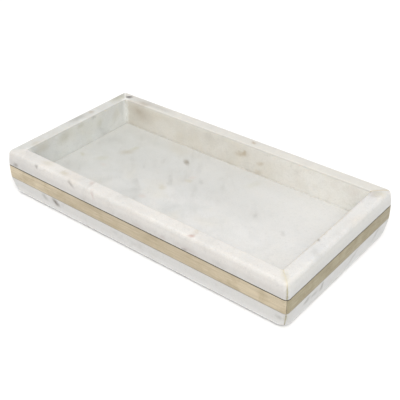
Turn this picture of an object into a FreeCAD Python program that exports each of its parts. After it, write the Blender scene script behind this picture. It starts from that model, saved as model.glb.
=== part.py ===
import FreeCAD, Part
import math
import os

from FreeCAD import Vector

# A rectangular marble tray: four mitred walls round a floor slab, with a brass band let in flush
# round the outside. Millimetres, +Z up, +X along the length. The origin is at the middle of the
# footprint, on the surface that the foot pads stand on.

# Marble body
TRAY_LENGTH = 300.0
TRAY_WIDTH = 152.0
BODY_HEIGHT = 41.5
WALL_THICKNESS = 13.7
FLOOR_THICKNESS = 15.3

# Outer faces: one shallow arc from base to rim, widest just above the middle
CROWN_RADIUS = 145.0
WIDEST_HEIGHT = 22.0
CORNER_RADIUS = 3.6
RIM_OUTER_RADIUS = 3.5
BASE_OUTER_RADIUS = 3.0
RIM_INNER_RADIUS = 1.2

# Brass band, the adhesive bed behind and below it, and the wider adhesive line above it
STRIP_TOP_BELOW_RIM = 14.2
STRIP_HEIGHT = 12.0
STRIP_THICKNESS = 2.5
ADHESIVE_BED = 0.4
ADHESIVE_TOP_LINE = 0.7
STRIP_SEAM = 0.3

# Joints between the marble pieces
MITRE_JOINT = 0.9
FLOOR_JOINT = 0.5
FLOOR_JOINT_RECESS = 0.5

# Foot pads
PAD_DIAMETER = 12.0
PAD_HEIGHT = 1.5
PAD_EDGE_RADIUS = 0.5
PAD_INSET = 24.0

# Heights above the surface that the tray stands on
BASE_Z = PAD_HEIGHT
RIM_Z = BASE_Z + BODY_HEIGHT
FLOOR_TOP_Z = BASE_Z + FLOOR_THICKNESS
STRIP_TOP_Z = RIM_Z - STRIP_TOP_BELOW_RIM
STRIP_BOTTOM_Z = STRIP_TOP_Z - STRIP_HEIGHT
CHANNEL_BOTTOM_Z = STRIP_BOTTOM_Z - ADHESIVE_BED
CHANNEL_TOP_Z = STRIP_TOP_Z + ADHESIVE_TOP_LINE

# Each side is drawn at the front (-Y) and turned about Z to its place
SIDE_TURNS = {"front": 0, "right": 90, "back": 180, "left": 270}
CORNER_SIGNS = {
    "front_left": (-1, -1),
    "front_right": (1, -1),
    "back_left": (-1, 1),
    "back_right": (1, 1),
}
UP = Vector(0, 0, 1)
LEVEL_TOLERANCE = 0.001


def centred_box(length, width, low, high):
    """A box centred on the Z axis, between two heights."""
    return Part.makeBox(length, width, high - low, Vector(-length / 2, -width / 2, low))


def upright_prism(points, low, high):
    """A closed plan outline made into a solid between two heights."""
    corners = [Vector(x, y, low) for x, y in points]
    outline = Part.makePolygon(corners + corners[:1])
    return Part.Face(outline).extrude(Vector(0, 0, high - low))


def crowned_bar(half_width, half_length):
    """A bar along Y with the body's cross-section: flat top and base, both sides arcs."""
    def side_x(height):
        rise = height - WIDEST_HEIGHT
        return half_width - CROWN_RADIUS + math.sqrt(CROWN_RADIUS ** 2 - rise ** 2)

    def point(x, height):
        return Vector(x, -half_length, BASE_Z + height)

    base_x = side_x(0)
    rim_x = side_x(BODY_HEIGHT)
    base_left, base_right = point(-base_x, 0), point(base_x, 0)
    rim_left, rim_right = point(-rim_x, BODY_HEIGHT), point(rim_x, BODY_HEIGHT)
    outline = Part.Wire([
        Part.makeLine(base_left, base_right),
        Part.Arc(base_right, point(half_width, WIDEST_HEIGHT), rim_right).toShape(),
        Part.makeLine(rim_right, rim_left),
        Part.Arc(rim_left, point(-half_width, WIDEST_HEIGHT), base_left).toShape(),
    ])
    return Part.Face(outline).extrude(Vector(0, 2 * half_length, 0))


def edges_at_height(shape, height):
    """The edges that lie wholly in the horizontal plane at a height."""
    def is_level(edge):
        low, high = edge.BoundBox.ZMin, edge.BoundBox.ZMax
        return max(abs(low - height), abs(high - height)) < LEVEL_TOLERANCE

    return [edge for edge in shape.Edges if is_level(edge)]


def marble_envelope():
    """The outer shape of the whole marble body, solid through."""
    along_y = crowned_bar(TRAY_LENGTH / 2, TRAY_WIDTH / 2)
    along_x = crowned_bar(TRAY_WIDTH / 2, TRAY_LENGTH / 2)
    along_x.rotate(Vector(), UP, 90)
    body = along_y.common(along_x).Solids[0]
    corner_edges = [edge for edge in body.Edges if edge.BoundBox.ZLength > BODY_HEIGHT / 2]
    body = body.makeFillet(CORNER_RADIUS, corner_edges)
    body = body.makeFillet(RIM_OUTER_RADIUS, edges_at_height(body, RIM_Z))
    return body.makeFillet(BASE_OUTER_RADIUS, edges_at_height(body, BASE_Z))


def side_bar(side, depth, end_setback, low, high):
    """A mitred bar just inside one side of the plan, both ends set back along the side."""
    is_long = side in ("front", "back")
    along = (TRAY_LENGTH if is_long else TRAY_WIDTH) / 2
    across = (TRAY_WIDTH if is_long else TRAY_LENGTH) / 2
    outer_x = along - end_setback
    inner_x = outer_x - depth
    outer_y = -across
    inner_y = depth - across
    outline = [(-outer_x, outer_y), (outer_x, outer_y), (inner_x, inner_y), (-inner_x, inner_y)]
    bar = upright_prism(outline, low, high)
    bar.rotate(Vector(), UP, SIDE_TURNS[side])
    return bar


def band_channel():
    """The channel cut round the outside of the walls for the strips and their adhesive."""
    depth = STRIP_THICKNESS + ADHESIVE_BED
    low, high = CHANNEL_BOTTOM_Z, CHANNEL_TOP_Z
    outside = centred_box(TRAY_LENGTH + depth, TRAY_WIDTH + depth, low, high)
    inside = centred_box(TRAY_LENGTH - 2 * depth, TRAY_WIDTH - 2 * depth, low, high)
    return outside.cut(inside)


def wall(side, envelope, channel):
    """One marble wall: mitred ends, rounded inner rim edge, outside channel."""
    end_setback = MITRE_JOINT / math.sqrt(2)
    body = envelope.common(side_bar(side, WALL_THICKNESS, end_setback, BASE_Z, RIM_Z)).Solids[0]
    rim_edges = edges_at_height(body, RIM_Z)
    inner_edge = min(rim_edges, key=lambda edge: math.hypot(edge.CenterOfMass.x, edge.CenterOfMass.y))
    return body.makeFillet(RIM_INNER_RADIUS, [inner_edge]).cut(channel)


def brass_strip(side, envelope):
    """One flat strip of the band, mitred, its face flush with the marble."""
    bar = side_bar(side, STRIP_THICKNESS, STRIP_SEAM / math.sqrt(2), STRIP_BOTTOM_Z, STRIP_TOP_Z)
    return envelope.common(bar)


def strip_adhesive(side, envelope, strip):
    """What fills the channel behind, above and below one strip, and the seam at its ends."""
    depth = STRIP_THICKNESS + ADHESIVE_BED
    bar = side_bar(side, depth, 0, CHANNEL_BOTTOM_Z, CHANNEL_TOP_Z)
    return envelope.common(bar).cut(strip)


def mitre_resin(corner, envelope, channel):
    """The resin in one mitre, from the inner corner of the well to the outer corner."""
    sign_x, sign_y = CORNER_SIGNS[corner]
    setback = MITRE_JOINT / math.sqrt(2)
    outer_x = TRAY_LENGTH / 2
    outer_y = TRAY_WIDTH / 2
    inner_x = outer_x - WALL_THICKNESS
    inner_y = outer_y - WALL_THICKNESS
    outline = [
        (inner_x, inner_y),
        (inner_x, inner_y - setback),
        (outer_x, outer_y - setback),
        (outer_x, outer_y),
        (outer_x - setback, outer_y),
        (inner_x - setback, inner_y),
    ]
    placed = [(sign_x * x, sign_y * y) for x, y in outline]
    return envelope.common(upright_prism(placed, BASE_Z, RIM_Z)).cut(channel)


def floor_slab():
    """The marble slab inside the walls, its underside level with theirs."""
    clearance = 2 * (WALL_THICKNESS + FLOOR_JOINT)
    return centred_box(TRAY_LENGTH - clearance, TRAY_WIDTH - clearance, BASE_Z, FLOOR_TOP_Z)


def floor_joint_resin(slab):
    """The resin between slab and walls, stopping short of the slab's top."""
    well_length = TRAY_LENGTH - 2 * WALL_THICKNESS
    well_width = TRAY_WIDTH - 2 * WALL_THICKNESS
    return centred_box(well_length, well_width, BASE_Z, FLOOR_TOP_Z - FLOOR_JOINT_RECESS).cut(slab)


def foot_pad(corner):
    """One round stick-on pad under the slab, its lower edge rounded."""
    sign_x, sign_y = CORNER_SIGNS[corner]
    middle = Vector(sign_x * (TRAY_LENGTH / 2 - PAD_INSET), sign_y * (TRAY_WIDTH / 2 - PAD_INSET), 0)
    pad = Part.makeCylinder(PAD_DIAMETER / 2, PAD_HEIGHT, middle)
    return pad.makeFillet(PAD_EDGE_RADIUS, edges_at_height(pad, 0))


def build_nodes():
    """Every piece of the tray, by node name."""
    envelope = marble_envelope()
    channel = band_channel()
    nodes = {}
    for side in SIDE_TURNS:
        strip = brass_strip(side, envelope)
        nodes[f"wall_{side}"] = wall(side, envelope, channel)
        nodes[f"brass_strip_{side}"] = strip
        nodes[f"strip_adhesive_{side}"] = strip_adhesive(side, envelope, strip)
    for corner in CORNER_SIGNS:
        nodes[f"mitre_resin_{corner}"] = mitre_resin(corner, envelope, channel)
        nodes[f"foot_pad_{corner}"] = foot_pad(corner)
    slab = floor_slab()
    nodes["floor_slab"] = slab
    nodes["floor_joint_resin"] = floor_joint_resin(slab)
    return nodes


os.makedirs("parts", exist_ok=True)
for name, shape in build_nodes().items():
    solid_count = len(shape.Solids)
    print(f"{name}: {solid_count} solid, {shape.Volume / 1000:.2f} cm3, valid {shape.isValid()}")
    shape.exportStep(f"parts/{name}.step")
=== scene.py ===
import math

import bpy
import numpy as np
from mathutils import Matrix, Vector, noise


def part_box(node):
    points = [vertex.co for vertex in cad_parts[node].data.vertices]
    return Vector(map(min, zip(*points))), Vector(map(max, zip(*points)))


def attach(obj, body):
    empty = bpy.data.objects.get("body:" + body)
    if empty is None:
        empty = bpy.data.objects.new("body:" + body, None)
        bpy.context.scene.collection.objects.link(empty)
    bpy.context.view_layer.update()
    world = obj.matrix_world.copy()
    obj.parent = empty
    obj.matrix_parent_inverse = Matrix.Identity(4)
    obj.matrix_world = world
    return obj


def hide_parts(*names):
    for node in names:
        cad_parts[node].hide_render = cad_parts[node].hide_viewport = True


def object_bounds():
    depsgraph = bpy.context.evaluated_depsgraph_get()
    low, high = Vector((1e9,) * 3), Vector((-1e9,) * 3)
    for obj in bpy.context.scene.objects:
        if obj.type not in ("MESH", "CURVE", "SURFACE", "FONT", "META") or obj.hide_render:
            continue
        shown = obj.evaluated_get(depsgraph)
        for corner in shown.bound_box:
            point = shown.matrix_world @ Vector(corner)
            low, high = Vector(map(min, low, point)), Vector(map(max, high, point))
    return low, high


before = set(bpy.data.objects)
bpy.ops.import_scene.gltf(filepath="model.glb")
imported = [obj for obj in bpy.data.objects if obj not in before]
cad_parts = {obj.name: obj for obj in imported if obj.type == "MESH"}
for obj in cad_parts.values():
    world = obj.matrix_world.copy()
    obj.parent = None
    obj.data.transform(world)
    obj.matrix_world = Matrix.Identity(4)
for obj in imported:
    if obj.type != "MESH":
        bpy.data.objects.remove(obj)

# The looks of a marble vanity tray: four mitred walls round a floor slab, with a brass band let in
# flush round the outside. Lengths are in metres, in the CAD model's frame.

MM = 0.001
cad_low, cad_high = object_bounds()

# Places and sizes read from the frame
wall_low, wall_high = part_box("wall_front")
strip_low, strip_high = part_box("brass_strip_front")
bed_low, bed_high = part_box("strip_adhesive_front")
slab_low, slab_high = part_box("floor_slab")
HALF_LENGTH = cad_high.x
HALF_WIDTH = cad_high.y
BASE_Z = wall_low.z
BODY_HEIGHT = wall_high.z - wall_low.z
WALL = HALF_WIDTH + wall_high.y
STRIP_DEPTH = HALF_WIDTH + strip_high.y
CHANNEL_DEPTH = HALF_WIDTH + bed_high.y
STRIP_BOTTOM = strip_low.z - BASE_Z
STRIP_TOP = strip_high.z - BASE_Z
CHANNEL_BOTTOM = bed_low.z - BASE_Z
CHANNEL_TOP = bed_high.z - BASE_Z

# The outer profile and half the width of the joints, as the CAD model has them
CROWN_RADIUS = 145 * MM
WIDEST_HEIGHT = 22 * MM
CORNER_RADIUS = 3.6 * MM
RIM_OUTER_RADIUS = 3.5 * MM
RIM_INNER_RADIUS = 1.2 * MM
BASE_OUTER_RADIUS = 3.0 * MM
MITRE_GAP = 0.45 * MM
STRIP_GAP = 0.15 * MM

# What the looks add: corners worn rounder at the base and the rim, a softened arris on the slab,
# and adhesive and strips a hair below the stone
BASE_CORNER_EXTRA = 5.0 * MM
RIM_CORNER_EXTRA = 1.0 * MM
RIM_WEAR_HEIGHT = 31 * MM
SLAB_ARRIS = 0.35 * MM
ADHESIVE_RECESS = 0.12 * MM
STRIP_RECESS = 0.06 * MM

# How far apart the stations of the swept pieces stand
WALL_PITCH = 1.5 * MM
BAND_PITCH = 4 * MM

# Each side is made at the front and turned about Z to its place, and each corner is made at the
# right-hand end of a side
SIDE_TURNS = {"front": 0, "right": 90, "back": 180, "left": 270}
CORNERS = {
    "front_right": ("front", 0),
    "back_right": ("right", 90),
    "back_left": ("back", 180),
    "front_left": ("left", 270),
}


# ---------------------------------------------------------------- camera, light and floor

def make_camera():
    """The three-quarter view from above the front right corner."""
    azimuth, elevation, roll = (math.radians(a) for a in (40.11, 33.87, -1.35))
    distance = 0.656
    back = Vector((math.sin(azimuth) * math.cos(elevation),
                   -math.cos(azimuth) * math.cos(elevation),
                   math.sin(elevation)))
    level = Vector((math.cos(azimuth), math.sin(azimuth), 0))
    upright = back.cross(level)
    right = math.cos(roll) * level + math.sin(roll) * upright
    up = math.cos(roll) * upright - math.sin(roll) * level
    target = Vector((0, 0, 18 * MM)) + 7.7 * MM * right - 5.4 * MM * up
    camera = bpy.data.objects.new("camera", bpy.data.cameras.new("camera"))
    camera.data.lens = 68.6
    camera.data.sensor_width = 36
    camera.data.clip_start = 0.01
    camera.matrix_world = Matrix.Translation(target + distance * back) @ Matrix(
        (right, up, back)).transposed().to_4x4()
    bpy.context.scene.collection.objects.link(camera)
    bpy.context.scene.camera = camera


def area_light(name, place, aim, size, power, tint):
    """A soft square light at a place, turned towards a point."""
    light = bpy.data.lights.new(name, "AREA")
    light.shape = "SQUARE"
    light.size = size
    light.energy = power
    light.color = tint
    holder = bpy.data.objects.new(name, light)
    holder.location = place
    holder.rotation_euler = (Vector(place) - Vector(aim)).to_track_quat("Z", "Y").to_euler()
    bpy.context.scene.collection.objects.link(holder)


def make_lights():
    """An even white room, with a large softbox overhead and a smaller, stronger one high in front."""
    scene = bpy.context.scene
    scene.view_settings.view_transform = "Standard"
    world = bpy.data.worlds.new("studio")
    world.use_nodes = True
    scene.world = world
    background = world.node_tree.nodes["Background"]
    background.inputs["Color"].default_value = (1.0, 1.0, 1.0, 1.0)
    background.inputs["Strength"].default_value = 0.50
    area_light("softbox_ceiling", (0, 0.1, 2.4), (0, 0.1, 0), 4.0, 42.0, (1.0, 0.99, 0.97))
    area_light("softbox_front", (1.35, -1.65, 2.55), (0, 0, 0.02), 2.2, 60.0, (1.0, 0.99, 0.97))


def make_floor():
    """The pale surface under the tray."""
    mesh = bpy.data.meshes.new("studio_floor")
    reach = 4.0
    cells = 8
    steps = [reach * (2 * i / cells - 1) for i in range(cells + 1)]
    points = [(x, y, 0) for y in steps for x in steps]
    mesh.from_pydata(points, [], grid_faces(cells, cells))
    floor = bpy.data.objects.new("studio_floor", mesh)
    bpy.context.scene.collection.objects.link(floor)
    graph = Graph("studio_floor")
    graph.shader.inputs["Roughness"].default_value = 0.9
    cloud = graph.noise(graph.place, 3, 2)
    graph.set_color(graph.mix(cloud, (0.93, 0.93, 0.93), (0.95, 0.95, 0.95)))
    mesh.materials.append(graph.material)


def grid_faces(cells_x, cells_y):
    """The quads of a flat grid whose points run row by row."""
    row = cells_x + 1
    return [(j * row + i, j * row + i + 1, (j + 1) * row + i + 1, (j + 1) * row + i)
            for j in range(cells_y) for i in range(cells_x)]


# ---------------------------------------------------------------- node helpers

class Graph:
    """A material under construction: its methods add nodes and return an output socket, or set
    one of the shader's inputs."""

    def __init__(self, name):
        self.material = bpy.data.materials.new(name)
        self.material.use_nodes = True
        self.tree = self.material.node_tree
        self.shader = self.tree.nodes["Principled BSDF"]
        self.place = self.tree.nodes.new("ShaderNodeTexCoord").outputs["Object"]

    def node(self, kind, inputs, **settings):
        """A new node, its inputs linked to sockets or set to fixed values."""
        made = self.tree.nodes.new(kind)
        for key, value in settings.items():
            setattr(made, key, value)
        for key, value in inputs.items():
            if isinstance(value, bpy.types.NodeSocket):
                self.tree.links.new(value, made.inputs[key])
            else:
                made.inputs[key].default_value = value
        return made

    def noise(self, vector, scale, detail=3.0, roughness=0.5, distortion=0.0):
        made = self.node("ShaderNodeTexNoise", {
            "Vector": vector, "Scale": scale, "Detail": detail,
            "Roughness": roughness, "Distortion": distortion})
        return made.outputs["Fac"]

    def noise_vector(self, vector, scale, detail):
        """Three independent noises, as a vector."""
        made = self.node("ShaderNodeTexNoise", {"Vector": vector, "Scale": scale, "Detail": detail})
        return made.outputs["Color"]

    def vector_math(self, operation, first, second):
        made = self.node("ShaderNodeVectorMath", {0: first, 1: second}, operation=operation)
        return made.outputs["Vector"]

    def length(self, vector):
        made = self.node("ShaderNodeVectorMath", {0: vector}, operation="LENGTH")
        return made.outputs["Value"]

    def math(self, operation, first, second):
        made = self.node("ShaderNodeMath", {0: first, 1: second}, operation=operation)
        return made.outputs["Value"]

    def remap(self, value, low, high, to_low=0.0, to_high=1.0):
        """A smooth step from one range to another, held at both ends."""
        made = self.node("ShaderNodeMapRange", {
            "Value": value, "From Min": low, "From Max": high,
            "To Min": to_low, "To Max": to_high}, interpolation_type="SMOOTHSTEP")
        return made.outputs["Result"]

    def turned(self, vector, turn):
        """The coordinates turned by Euler angles in degrees."""
        made = self.node("ShaderNodeMapping", {
            "Vector": vector, "Rotation": [math.radians(a) for a in turn]})
        return made.outputs["Vector"]

    def local(self, vector, centre, turn, size):
        """Coordinates measured from a centre, in units of a turned ellipsoid's radii."""
        made = self.node("ShaderNodeMapping", {
            "Vector": vector, "Location": centre,
            "Rotation": [math.radians(a) for a in turn], "Scale": size}, vector_type="TEXTURE")
        return made.outputs["Vector"]

    def along(self, axis):
        """The place along one axis."""
        return self.node("ShaderNodeSeparateXYZ", {"Vector": self.place}).outputs[axis]

    def mix(self, factor, first, second):
        """Two colours mixed by a factor; each may be a socket or a fixed value."""
        made = self.node("ShaderNodeMix", {}, data_type="RGBA")
        sockets = {"Factor": made.inputs[0], "A": made.inputs[6], "B": made.inputs[7]}
        for socket, value in zip(sockets.values(), (factor, first, second)):
            if isinstance(value, bpy.types.NodeSocket):
                self.tree.links.new(value, socket)
            elif socket is sockets["Factor"]:
                socket.default_value = value
            else:
                socket.default_value = (*value, 1.0)
        return made.outputs[2]

    def bump(self, height, strength, distance, normal=None):
        """Surface relief from a height, on top of another relief if one is given."""
        inputs = {"Height": height, "Strength": strength, "Distance": distance}
        if normal is not None:
            inputs["Normal"] = normal
        return self.node("ShaderNodeBump", inputs).outputs["Normal"]

    def set_color(self, socket):
        self.tree.links.new(socket, self.shader.inputs["Base Color"])

    def set_roughness(self, socket):
        self.tree.links.new(socket, self.shader.inputs["Roughness"])

    def set_normal(self, socket):
        self.tree.links.new(socket, self.shader.inputs["Normal"])


# ---------------------------------------------------------------- materials

# Natural marks in the stone, and a few pale spots of painted light that offset the shade in the
# well's inner corners: place in mm (height above the table), turn about the face's axis in degrees,
# radii in mm, colour and strength. Each piece of stone shows the marks that it holds, and the marks
# of the front right corner lie in both of its walls.
TAN = (0.44, 0.33, 0.17)
BROWN = (0.30, 0.20, 0.09)
RUST = (0.38, 0.15, 0.10)
GREY = (0.30, 0.30, 0.28)
DARK = (0.12, 0.10, 0.08)
OLIVE = (0.42, 0.40, 0.26)
PINK = (0.58, 0.46, 0.41)
PURPLE = (0.40, 0.32, 0.31)
STRAW = (0.66, 0.60, 0.46)
# Painted light for the well's inner corners, where shade falls
PAINTED_CORNER_LIGHT = (0.93, 0.94, 0.92)
NEAR_CORNER_MARKS = [
    ((149, -75, 36.5), (0, 0, 0), (2.0, 2.0, 3.4), OLIVE, 0.62),
    ((149, -75, 31.5), (0, 0, 0), (1.8, 1.8, 1.8), (0.30, 0.27, 0.18), 0.60),
    ((148.5, -74.5, 11), (0, 0, 0), (2.4, 2.4, 5), OLIVE, 0.40),
]
MARKS = {
    "floor": [
        ((-38.5, 39.5, 16.8), (0, 0, -40), (6.4, 2.9, 4), (0.20, 0.16, 0.11), 0.64),
        ((-95, 19, 16.8), (0, 0, 50), (8.0, 5.0, 4), (0.33, 0.27, 0.16), 0.36),
        ((-93.5, 29, 16.8), (0, 0, 80), (6.0, 3.5, 4), OLIVE, 0.40),
        ((-106, -3, 16.8), (0, 0, 40), (8.0, 4.5, 4), OLIVE, 0.26),
        ((-97, -10, 16.8), (0, 0, 0), (4.5, 3.0, 4), PINK, 0.22),
        ((-16, 16, 16.8), (0, 0, 20), (4.4, 3.2, 4), (0.46, 0.40, 0.26), 0.36),
        ((-17, 22, 16.8), (0, 0, 0), (4.0, 3.0, 4), PINK, 0.30),
        ((-28, -6, 16.8), (0, 0, -30), (5.2, 3.6, 4), (0.46, 0.41, 0.28), 0.36),
        ((-32.5, -27, 16.8), (0, 0, 0), (5.0, 3.5, 4), PINK, 0.30),
        ((-6, 21, 16.8), (0, 0, -45), (5.0, 2.6, 4), GREY, 0.32),
        ((62, 9, 16.8), (0, 0, -60), (5.5, 2.6, 4), GREY, 0.28),
        ((94, 2, 16.8), (0, 0, -50), (5.0, 2.6, 4), GREY, 0.24),
        ((-126, -9, 16.8), (0, 0, -30), (5.0, 2.2, 4), OLIVE, 0.40),
        ((-22, 38, 16.8), (0, 0, -60), (13.0, 3.5, 4), GREY, 0.16),
        ((-3, 8, 16.8), (0, 0, -60), (12.0, 3.0, 4), GREY, 0.14),
        ((-60, 52, 16.8), (0, 0, -20), (19.0, 9.0, 4), (0.49, 0.44, 0.32), 0.20),
        ((-122, 28, 16.8), (0, 0, 30), (13.0, 9.0, 4), GREY, 0.18),
        ((-118, -28, 16.8), (0, 0, 70), (16.0, 9.0, 4), GREY, 0.18),
        ((-76, -26, 16.8), (0, 0, 60), (13.0, 5.0, 4), GREY, 0.14),
        ((33, 46, 16.8), (0, 0, 70), (12.0, 5.0, 4), OLIVE, 0.16),
        ((-48, -28, 16.8), (0, 0, 55), (11.0, 5.0, 4), GREY, 0.14),
        ((-2, -28, 16.8), (0, 0, 70), (12.0, 4.0, 4), GREY, 0.12),
    ],
    "front": [
        ((-138.5, -76, 32), (0, -20, 0), (4.6, 4, 2.8), DARK, 0.75),
        ((-110, -75, 40.5), (0, 20, 0), (2.4, 4, 1.7), DARK, 0.50),
        ((-67, -75, 40), (0, 30, 0), (5.2, 4, 1.7), DARK, 0.44),
        ((-41, -75, 39.5), (0, 60, 0), (4.8, 4, 1.9), (0.40, 0.22, 0.17), 0.30),
        ((-50, -66.5, 43), (0, 0, -50), (4.5, 2.6, 4), RUST, 0.18),
        ((57, -76, 30.5), (0, 0, 0), (3.4, 4, 1.6), DARK, 0.45),
        ((60, -76, 32), (0, 0, 0), (12.0, 4, 3.0), PURPLE, 0.28),
        ((-128, -76, 36), (0, 0, 0), (24.0, 4, 9.0), (0.50, 0.49, 0.48), 0.42),
        ((35, -76, 31.5), (0, 0, 0), (4.0, 4, 2.2), PURPLE, 0.34),
        ((10, -76, 31), (0, 0, 0), (8.0, 4, 1.8), PURPLE, 0.26),
        ((-52, -76, 31.5), (0, 20, 0), (5.0, 4, 2.0), GREY, 0.22),
        ((92, -76, 32), (0, 10, 0), (6.0, 4, 2.0), GREY, 0.18),
        ((-89.5, -75.5, 12), (0, 35, 0), (5.4, 4, 3.2), DARK, 0.95),
        ((-103.5, -75.5, 12.5), (0, 30, 0), (4.6, 4, 2.6), GREY, 0.66),
        ((-80, -69.5, 43), (0, 0, 0), (4.8, 3.6, 4), (0.46, 0.39, 0.24), 0.42),
        ((61, -71.5, 43), (0, 0, 20), (3.0, 2.2, 4), RUST, 0.48),
        ((61, -66, 43), (0, 0, 80), (4.5, 2.5, 4), TAN, 0.22),
        ((-103, -67.5, 43), (0, 0, 0), (7.0, 4.0, 4), OLIVE, 0.24),
        ((-18, -75.5, 12.5), (0, 0, 0), (5.0, 4, 2.4), GREY, 0.22),
        ((143.5, -75.5, 11), (0, 10, 0), (4.0, 4, 2.4), GREY, 0.45),
        ((142.5, -68.5, 43), (0, 0, -45), (11.5, 2.7, 4), STRAW, 0.55),
        *NEAR_CORNER_MARKS,
    ],
    "back": [
        ((-116, 62.3, 34), (0, 20, 0), (16.0, 5, 10.0), BROWN, 0.28),
        ((-119, 62.3, 34), (0, 0, 0), (3.5, 4, 2.5), BROWN, 0.14),
        ((-113.5, 66, 43), (0, 0, 0), (9.0, 3.5, 4), BROWN, 0.35),
        ((6.5, 62.3, 31), (0, -18, 0), (9.0, 4, 3.2), TAN, 0.42),
        ((10.5, 62.3, 33.5), (0, -60, 0), (3.6, 4, 2.2), TAN, 0.35),
        ((28.5, 62.3, 28.5), (0, -30, 0), (6.0, 4, 2.2), TAN, 0.34),
        ((25.5, 62.3, 19), (0, 0, 0), (5.0, 4, 3.0), TAN, 0.22),
        ((-66, 62.3, 22), (0, -20, 0), (9.0, 4, 5.0), GREY, 0.10),
        ((121, 62.3, 34), (0, 0, 0), (8.0, 4, 6.0), PINK, 0.10),
        ((-136.5, 68, 43), (0, 0, 0), (4.2, 3.4, 4), (0.07, 0.05, 0.045), 0.95),
        ((16, 68.5, 43), (0, 0, -20), (4.0, 2.2, 4), BROWN, 0.50),
        ((-92, 68, 43), (0, 0, 0), (16.0, 3.5, 4), GREY, 0.30),
        ((-112, 69, 43), (0, 0, 0), (24.0, 5.0, 5), GREY, 0.28),
        # Painted light in the back left inner corner, offsetting its shade
        ((-136.3, 62.3, 30), (0, 0, 0), (4.0, 4, 20.0), PAINTED_CORNER_LIGHT, 0.75),
        ((142.5, 67.5, 43), (0, 0, 45), (9.0, 2.6, 4), TAN, 0.32),
        ((104, 75.5, 33), (0, 25, 0), (6.0, 4, 2.4), GREY, 0.60),
        ((62, 75.5, 10.5), (0, -30, 0), (9.0, 4, 2.6), GREY, 0.55),
        ((55, 75.5, 12), (0, -40, 0), (4.0, 4, 2.2), DARK, 0.50),
        ((18, 75.5, 36), (0, 35, 0), (14.0, 4, 2.2), GREY, 0.40),
        ((-34, 75.5, 32), (0, -20, 0), (5.0, 4, 2.2), TAN, 0.45),
        ((-70, 75.5, 11), (0, 20, 0), (12.0, 4, 2.8), GREY, 0.45),
        ((-121, 75.5, 35), (0, -35, 0), (8.0, 4, 2.6), BROWN, 0.40),
    ],
    "left": [
        ((-136.3, -20, 35.5), (20, 0, 0), (4, 11.0, 6.5), OLIVE, 0.30),
        ((-136.3, -45, 37), (0, 0, 0), (4, 10.0, 7.0), (0.44, 0.38, 0.25), 0.34),
        ((-136.3, 19, 40.5), (0, 0, 0), (4, 3.6, 1.8), GREY, 0.42),
        ((-136.3, 2, 39), (0, 0, 0), (4, 5.0, 3.0), OLIVE, 0.30),
        ((-136.3, 26, 31), (70, 0, 0), (4, 6.0, 4.0), OLIVE, 0.26),
        ((-136.3, 48, 31), (60, 0, 0), (4, 9.0, 5.0), OLIVE, 0.24),
        # Painted light in the two inner corners of the left wall, offsetting their shade
        ((-136.3, 62.3, 30), (0, 0, 0), (4, 4.5, 20.0), PAINTED_CORNER_LIGHT, 0.75),
        ((-136.3, -62.5, 40), (0, 0, 0), (3, 5.0, 5.0), PAINTED_CORNER_LIGHT, 0.50),
        ((-144.5, 6, 43), (0, 0, 0), (5.0, 13.0, 5), GREY, 0.50),
        ((-142.5, 22, 43), (0, 0, 0), (2.8, 4.0, 4), BROWN, 0.38),
        ((-143.5, 60, 43), (0, 0, 0), (6.0, 12.0, 4), OLIVE, 0.46),
        ((-146, 62, 42.5), (0, 0, 0), (5.0, 11.0, 5), GREY, 0.42),
        ((-139, -51, 43), (0, 0, 0), (4.0, 5.0, 4), TAN, 0.20),
        ((-149.5, 44, 33.5), (30, 0, 0), (4, 8.0, 2.4), GREY, 0.55),
        ((-149.5, 8, 11.5), (-35, 0, 0), (4, 10.0, 2.6), GREY, 0.50),
        ((-149.5, -37, 34.5), (20, 0, 0), (4, 5.0, 2.2), TAN, 0.45),
        ((-149.5, -52, 10.5), (-20, 0, 0), (4, 6.0, 2.4), GREY, 0.60),
    ],
    "right": [
        ((138, -18.5, 43), (0, 0, 0), (1.4, 1.6, 3), DARK, 0.50),
        ((137, -5, 43), (0, 0, 0), (1.3, 62.0, 1.6), TAN, 0.34),
        ((139, 62, 43), (0, 0, 30), (5.5, 3.2, 4), (0.36, 0.33, 0.28), 0.40),
        ((140.5, 57.5, 43), (0, 0, 30), (5.0, 3.4, 4), (0.36, 0.31, 0.29), 0.42),
        ((144, 63, 43), (0, 0, 60), (7.0, 5.0, 4), (0.47, 0.42, 0.27), 0.34),
        ((149.5, -49, 11.5), (20, 0, 0), (4, 5.6, 2.4), GREY, 0.85),
        ((149.5, -29, 12), (70, 0, 0), (4, 4.2, 2.4), GREY, 0.90),
        ((149.5, -39, 11), (0, 0, 0), (4, 5.5, 2.0), GREY, 0.65),
        ((149.5, 16, 10.5), (30, 0, 0), (4, 11.0, 2.6), GREY, 0.45),
        ((149.5, 53, 12.5), (40, 0, 0), (4, 8.0, 3.0), GREY, 0.48),
        ((142.5, -68.5, 43), (0, 0, -45), (11.5, 3.4, 4), STRAW, 0.55),
        *NEAR_CORNER_MARKS,
    ],
}
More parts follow.
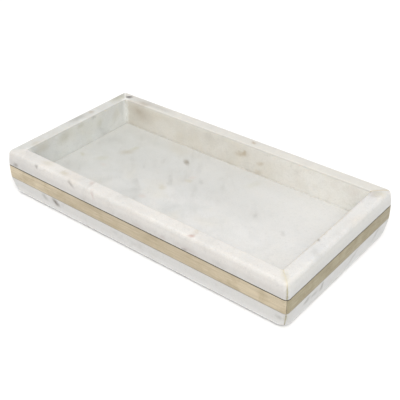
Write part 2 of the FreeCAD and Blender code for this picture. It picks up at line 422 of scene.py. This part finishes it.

# Broad changes of tone across a piece, nearly all of them painted light and shade and a few partly
# the stone's own tone: axis, start and end in mm, colour at the end, strength.
# The base edge of every wall is painted paler: painted light that offsets the shade under the tray's
# edge.
PAINTED_BASE_LIGHT = ("Z", 5.5, 2.8, (0.90, 0.895, 0.885), 0.90)
PAINTED_LIGHT_AND_STONE_WASHES = {
    "floor": [
        # Painted shade: darker towards the back and the left end, partly the stone's own tone;
        # painted light: paler towards the right, and in strips along the back and left walls to
        # offset the shade there
        ("Y", -25, 20, (0.56, 0.56, 0.545), 0.78),
        ("X", 0, -137, (0.50, 0.505, 0.48), 0.70),
        ("X", 0, 120, (0.71, 0.70, 0.685), 0.65),
        ("Y", 48, 61, (0.72, 0.71, 0.68), 0.40),
        ("X", -122, -136, (0.66, 0.66, 0.63), 0.50),
    ],
    "front": [
        # Painted shade and light: darker below the rim down to the band, then paler again towards the
        # base, where floor light would brighten it
        ("Z", 42.5, 39, (0.65, 0.625, 0.595), 0.90),
        ("Z", 38, 33, (0.55, 0.532, 0.512), 0.85),
        ("Z", 20, 14, (0.61, 0.605, 0.595), 0.90),
        ("Z", 10, 6, (0.665, 0.66, 0.65), 0.80),
        PAINTED_BASE_LIGHT,
    ],
    "back": [
        # Painted light and shade: darker towards the left end, partly the stone's own tone; paler
        # towards the right end, offsetting the corner's shade; a painted highlight along the top of
        # the inner face; the inner edge and the rim painted darker to tone down their highlight
        ("X", -70, -137, (0.62, 0.585, 0.51), 0.60),
        ("X", 5, 95, (0.92, 0.905, 0.86), 0.85),
        ("Z", 36, 41, (0.88, 0.86, 0.80), 0.35),
        ("X", 100, 132, (0.98, 0.965, 0.92), 0.60),
        ("Y", 62.8, 64.5, (0.575, 0.56, 0.53), 0.95),
        ("Y", 66, 72, (0.545, 0.535, 0.515), 0.60),
        ("Z", 40.6, 42.4, (0.64, 0.625, 0.59), 0.95),
        PAINTED_BASE_LIGHT,
    ],
    "left": [
        # Painted shade: the inner edge and the rim darker, to tone down their highlight
        ("X", -136.8, -138.5, (0.565, 0.56, 0.535), 0.95),
        ("Z", 40.6, 42.4, (0.60, 0.595, 0.57), 0.95),
        PAINTED_BASE_LIGHT,
    ],
    "right": [
        # Painted shade and light as on the front: darker below the rim down to the band, paler
        # towards the base
        ("Z", 42.5, 39, (0.60, 0.598, 0.572), 0.90),
        ("Z", 38, 33, (0.56, 0.555, 0.54), 0.85),
        ("Z", 20, 14, (0.585, 0.585, 0.58), 0.90),
        PAINTED_BASE_LIGHT,
    ],
}

# The stone of each piece: its light, dark and warm tones, how strong its clouds, streaks and grain
# are, how the streaks are turned, the run in mm over which they fade, and where in its block the
# piece was cut. The tones carry painted light too: the back and left walls, whose inner faces stand
# in the well's shade, are set paler, and the floor is set darker, partly as painted shade and partly
# its own cooler stone.
STONE_AND_PAINTED_LIGHT = {
    "front": {
        "light": (0.735, 0.71, 0.678), "dark": (0.64, 0.63, 0.612), "warm": (0.69, 0.63, 0.555),
        "clouds": 0.7, "streaks": 0.35, "grain": 0.26,
        "turn": (0, 30, 0), "fade": ("X", 0, 150), "cut": (0.1, 0.2, 0.3),
    },
    "back": {
        "light": (0.82, 0.795, 0.735), "dark": (0.73, 0.70, 0.63), "warm": (0.76, 0.70, 0.575),
        "clouds": 0.7, "streaks": 0.22, "grain": 0.16,
        "turn": (0, 20, 0), "fade": ("X", 0, 150), "cut": (1.1, 0.5, 0.2),
    },
    "left": {
        "light": (0.79, 0.80, 0.78), "dark": (0.69, 0.705, 0.685), "warm": (0.72, 0.72, 0.66),
        "clouds": 0.8, "streaks": 0.35, "grain": 0.16,
        "turn": (30, 0, 0), "fade": ("Y", -100, -200), "cut": (2.3, 0.8, 0.4),
    },
    "right": {
        "light": (0.72, 0.705, 0.68), "dark": (0.64, 0.64, 0.64), "warm": (0.68, 0.64, 0.585),
        "clouds": 0.7, "streaks": 0.35, "grain": 0.26,
        "turn": (30, 0, 0), "fade": ("Y", 100, 200), "cut": (3.2, 1.4, 0.9),
    },
    "floor": {
        "light": (0.69, 0.685, 0.675), "dark": (0.58, 0.585, 0.575), "warm": (0.645, 0.625, 0.57),
        "clouds": 0.8, "streaks": 0.52, "grain": 0.16,
        "turn": (0, 0, -40), "fade": ("X", -40, 90), "cut": (4.7, 2.2, 1.3),
    },
}

# The tones of the drawn-out streaks and of the thin veins
STREAK = (0.43, 0.425, 0.40)
VEIN = (0.41, 0.40, 0.36)


def marble(piece):
    """Honed marble: soft clouds, broad washes of painted light and shade, drawn-out grey streaks,
    thin veins, crystal grain and its marks.
    """
    stone = STONE_AND_PAINTED_LIGHT[piece]
    graph = Graph(f"marble_{piece}")
    moved = graph.vector_math("ADD", graph.place, stone["cut"])
    clouds = graph.noise(moved, 45, 3, 0.5, 0.4)
    tone = clouded(graph, stone, moved, clouds)
    tone = washed_with_painted_light(graph, piece, tone)
    tone = streaked(graph, stone, moved, tone)
    tone = grained(graph, stone, moved, tone)
    tone = marked(graph, piece, moved, tone)
    graph.set_color(tone)

    graph.set_roughness(graph.remap(clouds, 0.3, 0.7, 0.30, 0.42))
    honing = graph.bump(graph.noise(moved, 650, 3, 0.6), 0.12, 0.0002)
    graph.set_normal(graph.bump(graph.noise(moved, 90, 2), 0.10, 0.0010, honing))
    graph.shader.inputs["Subsurface Weight"].default_value = 0.25
    graph.shader.inputs["Subsurface Radius"].default_value = (1.0, 0.85, 0.7)
    graph.shader.inputs["Subsurface Scale"].default_value = 0.003
    graph.shader.inputs["IOR"].default_value = 1.5
    return graph.material


def clouded(graph, stone, moved, clouds):
    """The stone's ground: light and dark clouds with warmer patches."""
    cloud_mask = graph.remap(clouds, 0.34, 0.68, 0.0, stone["clouds"])
    tone = graph.mix(cloud_mask, stone["light"], stone["dark"])
    warmth = graph.noise(graph.vector_math("ADD", moved, (0.3, 0.1, 0.2)), 26, 3, 0.5, 0.4)
    return graph.mix(graph.remap(warmth, 0.48, 0.72, 0.0, 0.7), tone, stone["warm"])


def washed_with_painted_light(graph, piece, tone):
    """The broad changes of tone across a piece, mostly painted light and shade."""
    for axis, start, end, color, strength in PAINTED_LIGHT_AND_STONE_WASHES[piece]:
        wash = graph.remap(graph.along(axis), start * MM, end * MM, 0.0, strength)
        tone = graph.mix(wash, tone, color)
    return tone


def streaked(graph, stone, moved, tone):
    """Drawn-out grey streaks and thin veins, in patches that fade along one axis."""
    strength = stone["streaks"]
    drawn = graph.vector_math("MULTIPLY", graph.turned(moved, stone["turn"]), (1.0, 0.28, 1.0))
    axis, start, end = stone["fade"]
    kept = graph.remap(graph.along(axis), start * MM, end * MM, 1.0, 0.3)
    patches = graph.remap(graph.noise(moved, 34, 2), 0.42, 0.62)
    patches = graph.math("MULTIPLY", patches, kept)
    streaks = graph.remap(graph.noise(drawn, 95, 4, 0.55, 0.6), 0.46, 0.74, 0.0, strength)
    tone = graph.mix(graph.math("MULTIPLY", streaks, patches), tone, STREAK)
    wander = graph.math("SUBTRACT", graph.noise(drawn, 60, 4, 0.6, 1.2), 0.5)
    ridge = graph.math("ABSOLUTE", wander, 0.0)
    veins = graph.remap(ridge, 0.0, 0.030, 0.18 * strength, 0.0)
    return graph.mix(graph.math("MULTIPLY", veins, patches), tone, VEIN)


def grained(graph, stone, moved, tone):
    """Crystal grain, specks and small blotches."""
    grain = graph.remap(graph.noise(moved, 1000, 3, 0.65), 0.32, 0.72, 0.0, stone["grain"])
    tone = graph.mix(grain, tone, tuple(0.72 * c for c in stone["dark"]))
    specks = graph.noise(graph.vector_math("ADD", moved, (0.5, 0.7, 0.9)), 380, 3, 0.6)
    specks = graph.remap(specks, 0.54, 0.74, 0.0, stone["grain"])
    tone = graph.mix(specks, tone, tuple(0.66 * c for c in stone["dark"]))
    blotches = graph.noise(graph.vector_math("ADD", moved, (0.9, 0.2, 0.6)), 110, 3, 0.5, 0.3)
    return graph.mix(graph.remap(blotches, 0.45, 0.70, 0.0, 0.30), tone, stone["dark"])


def marked(graph, piece, moved, tone):
    """The piece's marks, each a soft spot with a wavering outline; the pale corner spots among them
    are painted light.
    """
    wobble = graph.vector_math("SUBTRACT", graph.noise_vector(moved, 260, 3), (0.5, 0.5, 0.5))
    wobble = graph.vector_math("MULTIPLY", wobble, (4 * MM,) * 3)
    wavering = graph.vector_math("ADD", graph.place, wobble)
    for centre, angles, radii, color, strength in MARKS[piece]:
        place = [c * MM for c in centre]
        size = [r * MM for r in radii]
        reach = graph.length(graph.local(wavering, place, angles, size))
        tone = graph.mix(graph.remap(reach, 0.0, 1.35, strength, 0.0), tone, color)
    return tone


# The brass of each strip: its tone in the middle and in smudges, and towards each end. The end tones
# are painted sheen and shade, and the right strip's tones are painted shade, darker throughout for
# the darker reflection on that side.
EVEN_BRASS = ((0.58, 0.50, 0.37), (0.50, 0.42, 0.29), (0.66, 0.575, 0.43), (0.66, 0.575, 0.43))
BRASS = {
    "front": ((0.56, 0.48, 0.355), (0.50, 0.42, 0.29), (0.685, 0.595, 0.445), (0.64, 0.555, 0.415)),
    "back": EVEN_BRASS,
    "left": EVEN_BRASS,
    # Painted shade: the right strip is darker throughout, standing for a darker reflection
    "right": ((0.405, 0.358, 0.246), (0.34, 0.295, 0.195), (0.43, 0.38, 0.262), (0.365, 0.32, 0.218)),
}


def brushed_brass(side):
    """Pale brass, brushed along the strip, with painted sheen and shade towards each end and a few
    smudges.
    """
    color, dull_color, low_end_painted_light_color, high_end_painted_light_color = BRASS[side]
    graph = Graph(f"brass_{side}")
    lengthwise = side in ("front", "back")
    squeeze = (0.03, 1, 1) if lengthwise else (1, 0.03, 1)
    brushed = graph.vector_math("MULTIPLY", graph.place, squeeze)
    broad_lines = graph.noise(brushed, 850, 3, 0.6)
    lines = graph.noise(brushed, 3200, 3, 0.65)
    smudge = graph.noise(graph.place, 70, 4, 0.6, 0.5)
    along = graph.along("X" if lengthwise else "Y")
    reach = HALF_LENGTH if lengthwise else HALF_WIDTH
    tone = graph.mix(graph.remap(along, -0.35 * reach, -0.9 * reach), color, low_end_painted_light_color)
    tone = graph.mix(graph.remap(along, 0.35 * reach, 0.9 * reach), tone, high_end_painted_light_color)
    tone = graph.mix(graph.remap(smudge, 0.42, 0.70, 0.0, 0.60), tone, dull_color)
    dark_line = tuple(0.5 * c for c in color)
    tone = graph.mix(graph.remap(broad_lines, 0.36, 0.72, 0.0, 0.30), tone, dark_line)
    tone = graph.mix(graph.remap(lines, 0.35, 0.75, 0.0, 0.35), tone, dark_line)
    graph.set_color(tone)
    line_shine = graph.remap(lines, 0.3, 0.7, -0.05, 0.08)
    smudge_shine = graph.remap(smudge, 0.3, 0.7, 0.34, 0.46)
    graph.set_roughness(graph.math("ADD", line_shine, smudge_shine))
    graph.set_normal(graph.bump(graph.math("ADD", lines, broad_lines), 0.22, 0.00008))
    graph.shader.inputs["Metallic"].default_value = 1.0
    return graph.material


def cured_resin(place, rim_tone, light_tone, dark_tone):
    """Stone resin, mottled and slightly glossy, sanded paler where it comes up to the rim."""
    graph = Graph(f"resin_{place}")
    cloud = graph.noise(graph.place, 300, 4, 0.6, 0.5)
    tone = graph.mix(graph.remap(cloud, 0.38, 0.66), light_tone, dark_tone)
    tone = graph.mix(graph.remap(graph.along("Z"), 37 * MM, 42 * MM, 0.0, 0.85), tone, rim_tone)
    graph.set_color(tone)
    graph.set_roughness(graph.remap(cloud, 0.3, 0.7, 0.30, 0.50))
    graph.set_normal(graph.bump(graph.noise(graph.place, 900, 3), 0.35, 0.0002))
    return graph.material


def dark_adhesive():
    """The near-black bedding adhesive, paler with stone dust along the lower line."""
    graph = Graph("bedding_adhesive")
    dust = graph.noise(graph.place, 500, 4, 0.65, 0.4)
    tone = graph.mix(graph.remap(dust, 0.40, 0.75), (0.045, 0.036, 0.024), (0.17, 0.14, 0.10))
    low = graph.remap(graph.along("Z"), strip_low.z + 1 * MM, strip_low.z, 0.0, 0.70)
    graph.set_color(graph.mix(low, tone, (0.42, 0.39, 0.33)))
    graph.set_roughness(graph.remap(dust, 0.3, 0.7, 0.55, 0.8))
    graph.set_normal(graph.bump(graph.noise(graph.place, 1500, 2), 0.4, 0.0001))
    return graph.material


def pad_rubber():
    """Soft grey elastomer with a fine moulded grain."""
    graph = Graph("pad_rubber")
    cloud = graph.noise(graph.place, 200, 3)
    graph.set_color(graph.mix(cloud, (0.26, 0.26, 0.25), (0.36, 0.36, 0.34)))
    graph.set_roughness(graph.remap(cloud, 0.3, 0.7, 0.55, 0.75))
    graph.set_normal(graph.bump(graph.noise(graph.place, 2500, 2), 0.3, 0.0001))
    return graph.material


# ---------------------------------------------------------------- the tray's outline

def crown_inset(height):
    """How far the crowned outer face lies inside its widest line at a height above the base."""
    return CROWN_RADIUS - math.sqrt(CROWN_RADIUS ** 2 - (height - WIDEST_HEIGHT) ** 2)


def plan_radius(offset, height):
    """The corner radius in plan of the outline at an inward offset and a height."""
    low = max(0.0, 1 - height / CHANNEL_BOTTOM)
    high = max(0.0, (height - RIM_WEAR_HEIGHT) / (BODY_HEIGHT - RIM_WEAR_HEIGHT))
    outer = CORNER_RADIUS + BASE_CORNER_EXTRA * low * low * (3 - 2 * low)
    outer += RIM_CORNER_EXTRA * high * high * (3 - 2 * high)
    return max(outer - (offset - crown_inset(height)), 0.0)


def line(start, end, count, angle):
    """Profile points (offset, height, facing angle) on a straight run, without the end point."""
    return [(start[0] + (end[0] - start[0]) * i / count,
             start[1] + (end[1] - start[1]) * i / count, angle) for i in range(count)]


def crown(low, high, count):
    """Profile points up the crowned face, without the last."""
    rows = []
    for i in range(count):
        height = low + (high - low) * i / count
        tilt = math.degrees(math.asin((height - WIDEST_HEIGHT) / CROWN_RADIUS))
        rows.append((crown_inset(height), height, tilt))
    return rows


def rounding(centre, radius, start, end, count):
    """Profile points round an edge: facing angle 0 is outward, 90 up, 180 towards the well."""
    rows = []
    for i in range(count):
        angle = start + (end - start) * i / count
        turn = math.radians(angle)
        rows.append((centre[0] - radius * math.cos(turn), centre[1] + radius * math.sin(turn), angle))
    return rows


def wall_profile():
    """The closed section of a wall, from the base's inner edge outward, up and back down.

    The channel's two mouths have a tiny bevel."""
    base = (crown_inset(BASE_OUTER_RADIUS) + BASE_OUTER_RADIUS, BASE_OUTER_RADIUS)
    shoulder = BODY_HEIGHT - RIM_OUTER_RADIUS
    rim = (crown_inset(shoulder) + RIM_OUTER_RADIUS, shoulder)
    lip = (WALL - RIM_INNER_RADIUS, BODY_HEIGHT - RIM_INNER_RADIUS)
    low_tilt = math.degrees(math.asin((BASE_OUTER_RADIUS - WIDEST_HEIGHT) / CROWN_RADIUS))
    high_tilt = math.degrees(math.asin((shoulder - WIDEST_HEIGHT) / CROWN_RADIUS))
    low_mouth = crown_inset(CHANNEL_BOTTOM)
    high_mouth = crown_inset(CHANNEL_TOP)
    bevel = 0.15 * MM
    rows = line((WALL, 0), (base[0], 0), 6, -90)
    rows += rounding(base, BASE_OUTER_RADIUS, -90, low_tilt, 8)
    rows += crown(BASE_OUTER_RADIUS, CHANNEL_BOTTOM - bevel, 10)
    rows += line((low_mouth, CHANNEL_BOTTOM - bevel), (low_mouth + bevel, CHANNEL_BOTTOM), 1, 0)
    rows += line((low_mouth + bevel, CHANNEL_BOTTOM), (CHANNEL_DEPTH, CHANNEL_BOTTOM), 2, 90)
    rows += line((CHANNEL_DEPTH, CHANNEL_BOTTOM), (CHANNEL_DEPTH, CHANNEL_TOP), 3, 0)
    rows += line((CHANNEL_DEPTH, CHANNEL_TOP), (high_mouth + bevel, CHANNEL_TOP), 2, -90)
    rows += line((high_mouth + bevel, CHANNEL_TOP), (high_mouth, CHANNEL_TOP + bevel), 1, 0)
    rows += crown(CHANNEL_TOP + bevel, shoulder, 8)
    rows += rounding(rim, RIM_OUTER_RADIUS, high_tilt, 90, 10)
    rows += line((rim[0], BODY_HEIGHT), (lip[0], BODY_HEIGHT), 9, 90)
    rows += rounding(lip, RIM_INNER_RADIUS, 90, 180, 5)
    rows += line((WALL, lip[1]), (WALL, 0), 20, 180)
    return rows


def strip_profile():
    """The closed section of a brass strip: crowned face, small edge radii, flat back."""
    edge = 0.2 * MM
    low = (crown_inset(STRIP_BOTTOM) + edge, STRIP_BOTTOM + edge)
    high = (crown_inset(STRIP_TOP) + edge, STRIP_TOP - edge)
    rows = line((STRIP_DEPTH, STRIP_BOTTOM), (low[0], STRIP_BOTTOM), 2, -90)
    rows += rounding(low, edge, -90, 0, 3)
    rows += crown(low[1], high[1], 12)
    rows += rounding(high, edge, 0, 90, 3)
    rows += line((high[0], STRIP_TOP), (STRIP_DEPTH, STRIP_TOP), 2, 90)
    rows += line((STRIP_DEPTH, STRIP_TOP), (STRIP_DEPTH, STRIP_BOTTOM), 2, 180)
    return rows


def adhesive_profile():
    """The closed C-shaped section round a strip: a line below, the layer behind, a line above."""
    low_face = crown_inset(CHANNEL_BOTTOM) + ADHESIVE_RECESS
    high_face = crown_inset(CHANNEL_TOP) + ADHESIVE_RECESS
    rows = line((low_face, CHANNEL_BOTTOM), (low_face, STRIP_BOTTOM), 2, 0)
    rows += line((low_face, STRIP_BOTTOM), (STRIP_DEPTH, STRIP_BOTTOM), 2, 90)
    rows += line((STRIP_DEPTH, STRIP_BOTTOM), (STRIP_DEPTH, STRIP_TOP), 2, 0)
    rows += line((STRIP_DEPTH, STRIP_TOP), (high_face, STRIP_TOP), 2, -90)
    rows += line((high_face, STRIP_TOP), (high_face, CHANNEL_TOP), 2, 0)
    rows += line((high_face, CHANNEL_TOP), (CHANNEL_DEPTH, CHANNEL_TOP), 2, 90)
    rows += line((CHANNEL_DEPTH, CHANNEL_TOP), (CHANNEL_DEPTH, CHANNEL_BOTTOM), 2, 180)
    rows += line((CHANNEL_DEPTH, CHANNEL_BOTTOM), (low_face, CHANNEL_BOTTOM), 2, -90)
    return rows


def seam_profile():
    """The closed section of the adhesive in a band corner, between two strip ends."""
    low_face = crown_inset(STRIP_BOTTOM) + ADHESIVE_RECESS
    high_face = crown_inset(STRIP_TOP) + ADHESIVE_RECESS
    rows = line((low_face, STRIP_BOTTOM), (high_face, STRIP_TOP), 6, 0)
    rows += line((high_face, STRIP_TOP), (STRIP_DEPTH, STRIP_TOP), 2, 90)
    rows += line((STRIP_DEPTH, STRIP_TOP), (STRIP_DEPTH, STRIP_BOTTOM), 2, 180)
    rows += line((STRIP_DEPTH, STRIP_BOTTOM), (low_face, STRIP_BOTTOM), 2, -90)
    return rows


class Path:
    """The plan route of one profile point along a side, from its middle to the mitre."""

    def __init__(self, half_along, half_across, offset, height, gap):
        self.across = half_across - offset
        self.radius = plan_radius(offset, height)
        reach = half_along - offset
        if self.radius * math.sin(math.pi / 4) > gap:
            self.straight = reach - self.radius
            self.bend = math.pi / 4 - math.asin(gap / self.radius)
        else:
            self.straight = reach - gap * math.sqrt(2)
            self.bend = 0.0
        self.total = self.straight + self.radius * self.bend

    def point(self, distance):
        """(x, y, outward x, outward y) at a distance from the middle, for the front side."""
        if distance <= self.straight:
            return distance, -self.across, 0.0, -1.0
        angle = (distance - self.straight) / self.radius
        out_x, out_y = math.sin(angle), -math.cos(angle)
        return (self.straight + self.radius * out_x,
                -self.across + self.radius + self.radius * out_y, out_x, out_y)


def side_sizes(side):
    """Half the side's own length, and its distance from the centre line."""
    return (HALF_LENGTH, HALF_WIDTH) if side in ("front", "back") else (HALF_WIDTH, HALF_LENGTH)


def turned_about_z(points, degrees):
    """Points or directions turned about the vertical axis."""
    turn = math.radians(degrees)
    cosine, sine = math.cos(turn), math.sin(turn)
    spin = np.array([[cosine, -sine, 0], [sine, cosine, 0], [0, 0, 1]])
    return points @ spin.T


def sweep_side(side, profile, gap, pitch):
    """The grid of places and outward directions of a profile swept from mitre to mitre.

    The middle is divided evenly, and the last stretch before each mitre more and more finely."""
    half_along, half_across = side_sizes(side)
    near_end = 16 * MM
    middle = half_along - near_end
    count = max(2, round(middle / pitch))
    end_steps = 14
    crowding = 1.4
    shares = [1 - (1 - (i + 1) / end_steps) ** crowding for i in range(end_steps)]
    places = np.zeros((2 * (count + end_steps) + 1, len(profile), 3))
    facings = np.zeros_like(places)
    for j, (offset, height, angle) in enumerate(profile):
        path = Path(half_along, half_across, offset, height, gap)
        distances = [middle * i / count for i in range(count + 1)]
        distances += [middle + (path.total - middle) * share for share in shares]
        out, rise = math.cos(math.radians(angle)), math.sin(math.radians(angle))
        for i, distance in enumerate(distances):
            x, y, out_x, out_y = path.point(distance)
            for sign in (1, -1):
                row = count + end_steps + sign * i
                places[row, j] = (sign * x, y, height + BASE_Z)
                facings[row, j] = (sign * out * out_x, out * out_y, rise)
    turn = SIDE_TURNS[side]
    return turned_about_z(places, turn), turned_about_z(facings, turn)


def sweep_corner(corner, profile, gap):
    """The grid of a profile carried round one corner, between the ends of its two walls."""
    side, turn = CORNERS[corner]
    half_along, half_across = side_sizes(side)
    steps = 6
    places = np.zeros((steps + 1, len(profile), 3))
    facings = np.zeros_like(places)
    for j, (offset, height, angle) in enumerate(profile):
        path = Path(half_along, half_across, offset, height, gap)
        out, rise = math.cos(math.radians(angle)), math.sin(math.radians(angle))
        first_x = path.point(path.total)[0]
        corner_x, corner_y = half_along - offset, offset - half_across
        for i in range(steps + 1):
            share = i / steps
            if path.bend:
                bend = path.bend + (math.pi / 2 - 2 * path.bend) * share
                out_x, out_y = math.sin(bend), -math.cos(bend)
                x = corner_x - path.radius + path.radius * out_x
                y = corner_y + path.radius + path.radius * out_y
            else:
                before = min(1.0, 2 * share)
                after = max(0.0, 2 * share - 1)
                setback = corner_x - first_x
                x = first_x + setback * before
                y = corner_y + setback * after
                out_x, out_y = math.sin(share * math.pi / 2), -math.cos(share * math.pi / 2)
            places[i, j] = (x, y, height + BASE_Z)
            facings[i, j] = (out * out_x, out * out_y, rise)
    return turned_about_z(places, turn), turned_about_z(facings, turn)


# ---------------------------------------------------------------- hand finish

# How deep the broad and the narrow unevenness of the hand finish go
BROAD_FINISH = 0.10 * MM
NARROW_FINISH = 0.03 * MM

# Small breaks along the edges: place in mm, radius in mm, depth in mm
CHIPS = [
    ((-139.5, 70.5, 43), 3.2, 0.8),
    ((140, -64, 43), 2.4, 0.5),
    ((-61, -75.3, 41.1), 1.8, 0.3),
    ((137.5, -18.8, 43), 1.6, 0.5),
    ((-104, 62.8, 43), 1.5, 0.3),
    ((146, 71.5, 42.5), 2.4, 0.4),
    ((149, -74.5, 4.0), 3.0, 0.7),
    ((-149, 30, 3.5), 2.2, 0.5),
    ((60, 75.5, 3.5), 2.4, 0.5),
    ((-30, -75.6, 3.0), 1.8, 0.3),
    ((92, 75.8, 41.7), 1.6, 0.3),
    ((149.3, 20, 41.5), 1.4, 0.25),
]


def finish_depth(place):
    """How deep the hand finish cuts below the true surface at a place, in metres.

    Its broad waves are about 25 mm long and its narrow ones about 4 mm."""
    spot = Vector(place)
    broad = 0.5 + 0.5 * noise.noise(spot * 40)
    narrow = 0.5 + 0.5 * noise.noise(spot * 260 + Vector((7, 3, 5)))
    depth = BROAD_FINISH * broad + NARROW_FINISH * narrow
    for centre, radius, deep in CHIPS:
        away = (spot - Vector(centre) * MM).length / (radius * MM)
        if away < 1.3:
            ragged = away + 0.35 * noise.noise(spot * 900)
            fall = max(0.0, 1 - ragged)
            depth += deep * MM * min(1.0, 2.2 * fall) * (0.8 + 0.2 * narrow)
    return depth


def finished(places, facings):
    """The grid drawn in by the hand finish, along each point's own facing."""
    worn = places.copy()
    for i in range(places.shape[0]):
        for j in range(places.shape[1]):
            worn[i, j] -= facings[i, j] * finish_depth(places[i, j])
    return worn


def grid_object(name, grids, material, node):
    """One object from closed-loop grids: quads between stations, and a cap at each end."""
    points, faces = [], []
    for grid in grids:
        start = len(points)
        stations, loop = grid.shape[:2]
        points += [tuple(p) for p in grid.reshape(-1, 3)]
        for i in range(stations - 1):
            for j in range(loop):
                k = (j + 1) % loop
                faces.append((start + i * loop + j, start + i * loop + k,
                              start + (i + 1) * loop + k, start + (i + 1) * loop + j))
        faces.append(tuple(start + j for j in reversed(range(loop))))
        faces.append(tuple(start + (stations - 1) * loop + j for j in range(loop)))
    mesh_object(name, points, faces, material, [node])


def mesh_object(name, points, faces, material, nodes):
    """A smooth-shaded mesh piece that rides on the tray and stands for its CAD nodes."""
    mesh = bpy.data.meshes.new(name)
    mesh.from_pydata(points, [], faces)
    mesh.validate()
    mesh.shade_smooth()
    mesh.set_sharp_from_angle(angle=math.radians(32))
    mesh.materials.append(material)
    piece = bpy.data.objects.new(name, mesh)
    bpy.context.scene.collection.objects.link(piece)
    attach(piece, "root")
    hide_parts(*nodes)


# ---------------------------------------------------------------- the pieces

def make_walls(materials):
    """The four marble walls, from mitre to mitre."""
    profile = wall_profile()
    for side in SIDE_TURNS:
        places, facings = sweep_side(side, profile, MITRE_GAP, WALL_PITCH)
        grid = finished(places, facings)
        grid_object(f"marble_wall_{side}", [grid], materials[side], f"wall_{side}")


def make_mitres():
    """The resin that fills the four corner joints: its tone at the rim, light and dark below."""
    profile = wall_profile()
    tones = {
        "front_right": ((0.73, 0.68, 0.55), (0.42, 0.38, 0.26), (0.16, 0.13, 0.08)),
        "back_right": ((0.62, 0.55, 0.43), (0.52, 0.45, 0.33), (0.40, 0.33, 0.22)),
        "back_left": ((0.74, 0.73, 0.68), (0.90, 0.90, 0.87), (0.72, 0.71, 0.66)),
        "front_left": ((0.70, 0.68, 0.64), (0.66, 0.64, 0.59), (0.54, 0.51, 0.45)),
    }
    for corner in CORNERS:
        places, facings = sweep_corner(corner, profile, MITRE_GAP)
        grid = finished(places, facings)
        material = cured_resin(corner, *tones[corner])
        grid_object(f"resin_{corner}", [grid], material, f"mitre_resin_{corner}")


def make_band(brass, adhesive):
    """The brass strips and the adhesive round them."""
    for side in SIDE_TURNS:
        places, facings = sweep_side(side, strip_profile(), STRIP_GAP, BAND_PITCH)
        strip = places - STRIP_RECESS * facings
        grid_object(f"band_{side}", [strip], brass[side], f"brass_strip_{side}")
        bed, _ = sweep_side(side, adhesive_profile(), 0.0, BAND_PITCH)
        ends = seam_grids(side)
        grid_object(f"bedding_{side}", [bed, *ends], adhesive, f"strip_adhesive_{side}")


def seam_grids(side):
    """The two thin fillings between a strip's ends and the mitre planes."""
    half_along, half_across = side_sizes(side)
    profile = seam_profile()
    grids = []
    for sign in (1, -1):
        grid = np.zeros((2, len(profile), 3))
        for j, (offset, height, _) in enumerate(profile):
            for i, gap in enumerate((STRIP_GAP, 0.0)):
                path = Path(half_along, half_across, offset, height, gap)
                x, y, _, _ = path.point(path.total)
                grid[i if sign > 0 else 1 - i, j] = (sign * x, y, height + BASE_Z)
        grids.append(turned_about_z(grid, SIDE_TURNS[side]))
    return grids


def slab_top(half_x, half_y, cells_x, cells_y):
    """The points of the slab's top, a little uneven, row by row."""
    top = []
    for j in range(cells_y + 1):
        for i in range(cells_x + 1):
            x = half_x * (2 * i / cells_x - 1)
            y = half_y * (2 * j / cells_y - 1)
            dip = 0.04 * MM * (1 + noise.noise(Vector((x, y, 0)) * 30))
            top.append((x, y, slab_high.z - dip))
    return top


def slab_border(cells_x, cells_y):
    """The top's border points, in order round the slab."""
    row = cells_x + 1
    border = list(range(cells_x))
    border += [j * row + cells_x for j in range(cells_y)]
    border += [cells_y * row + i for i in range(cells_x, 0, -1)]
    border += [j * row for j in range(cells_y, 0, -1)]
    return border


def make_slab(material):
    """The floor slab: a finely divided top with a rounded arris, straight sides and a flat base."""
    cells_x, cells_y = 130, 60
    half_x = slab_high.x - SLAB_ARRIS
    half_y = slab_high.y - SLAB_ARRIS
    points = slab_top(half_x, half_y, cells_x, cells_y)
    faces = grid_faces(cells_x, cells_y)
    border = slab_border(cells_x, cells_y)
    arris_steps = 3
    turns = [math.pi / 2 * (k + 1) / arris_steps for k in range(arris_steps)]
    drops = [(SLAB_ARRIS * math.sin(t), SLAB_ARRIS * (1 - math.cos(t))) for t in turns]
    drops += [(SLAB_ARRIS, (slab_high.z - slab_low.z) * share) for share in (0.3, 0.6, 1.0)]
    previous = border
    for out, drop in drops:
        on_side = drop > SLAB_ARRIS * 1.01
        ring = []
        for index in border:
            x, y, z = points[index]
            at_x = abs(abs(x) - half_x) < 1e-9
            at_y = abs(abs(y) - half_y) < 1e-9
            lower = slab_high.z - drop if on_side else z - drop
            ring.append(len(points))
            points.append((x + math.copysign(out, x) * at_x, y + math.copysign(out, y) * at_y, lower))
        for i in range(len(border)):
            k = (i + 1) % len(border)
            faces.append((previous[k], previous[i], ring[i], ring[k]))
        previous = ring
    faces.append(tuple(reversed(previous)))
    mesh_object("marble_floor", points, faces, material, ["floor_slab"])


def dress_cad_nodes(resin, rubber):
    """The CAD nodes that stay as they are, with finished materials."""
    for name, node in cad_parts.items():
        if name.startswith("foot_pad"):
            node.material_slots[0].material = rubber
        if name == "floor_joint_resin":
            node.material_slots[0].material = resin


def main():
    """The studio, then the pieces."""
    make_camera()
    make_lights()
    make_floor()
    make_walls({side: marble(side) for side in SIDE_TURNS})
    make_mitres()
    make_band({side: brushed_brass(side) for side in SIDE_TURNS}, dark_adhesive())
    make_slab(marble("floor"))
    # The floor joint's resin is set pale: painted light that offsets the shade in its narrow groove
    joint_tones_with_painted_light = ((0.80, 0.78, 0.73), (0.84, 0.82, 0.77), (0.66, 0.63, 0.55))
    dress_cad_nodes(cured_resin("floor_joint", *joint_tones_with_painted_light), pad_rubber())


main()
